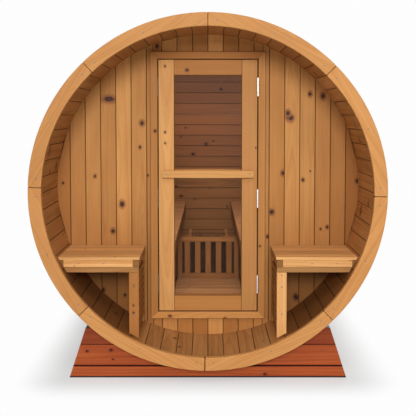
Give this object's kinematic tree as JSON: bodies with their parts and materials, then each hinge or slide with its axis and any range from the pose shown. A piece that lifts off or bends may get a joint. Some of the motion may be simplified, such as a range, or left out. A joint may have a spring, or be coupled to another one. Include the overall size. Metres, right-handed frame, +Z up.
{
  "type": "barrel sauna",
  "caption": "Lying wooden barrel with an open porch and two benches, a glazed hinged door, and a cabin with benches, duckboard floor and a guarded heater, on two cradles.",
  "frame": {"origin": "on the ground, under the middle of the barrel", "axes": "+Z up, +Y along the barrel from the porch to the back wall, +X to the right for someone facing the door"},
  "size_m": [2, 2.53, 2.077],
  "materials": {
    "wood": "satin",
    "cabin_wood": "satin",
    "stained_wood": "satin",
    "glass": "gloss",
    "hinge_steel": "satin",
    "band_steel": "satin",
    "heater_steel": "matte"
  },
  "bodies": {
    "sauna": {"back_wall": "cabin_wood", "cabin_bench_left_frame": "cabin_wood", "cabin_bench_left_seat": "cabin_wood", "cabin_bench_left_skirt": "cabin_wood", "cabin_bench_right_frame": "cabin_wood", "cabin_bench_right_seat": "cabin_wood", "cabin_bench_right_skirt": "cabin_wood", "door_casing": "wood", "door_frame": "wood", "door_stops": "wood", "duckboard_floor": "cabin_wood", "frame_hinge_leaves": "hinge_steel", "front_cradle": "stained_wood", "front_ring": "wood", "front_wall_left": "wood", "front_wall_over_door": "wood", "front_wall_right": "wood", "front_wall_under_door": "wood", "heater": "heater_steel", "heater_guard": "cabin_wood", "porch_bench_left_frame": "wood", "porch_bench_left_seat": "wood", "porch_bench_left_skirt": "wood", "porch_bench_right_frame": "wood", "porch_bench_right_seat": "wood", "porch_bench_right_skirt": "wood", "rear_cradle": "stained_wood", "rear_ring": "wood", "staves_bottom_left": "wood", "staves_bottom_right": "wood", "staves_lower_left": "wood", "staves_lower_right": "wood", "staves_top_left": "wood", "staves_top_right": "wood", "staves_upper_left": "wood", "staves_upper_right": "wood", "steel_band_front": "band_steel", "steel_band_middle": "band_steel", "steel_band_rear": "band_steel"},
    "door": {"door_stiles": "wood", "door_rails": "wood", "door_glass": "glass", "door_handle": "wood", "door_inner_handle": "wood", "door_hinge_leaves": "hinge_steel"}
  },
  "joints": [
    {"name": "door_swing", "type": "hinge", "parent": "sauna", "child": "door", "pos_m": [0.3045, -0.8533, 1.077], "axis": [0, 0, 1], "range_deg": [0, 100]}
  ]
}
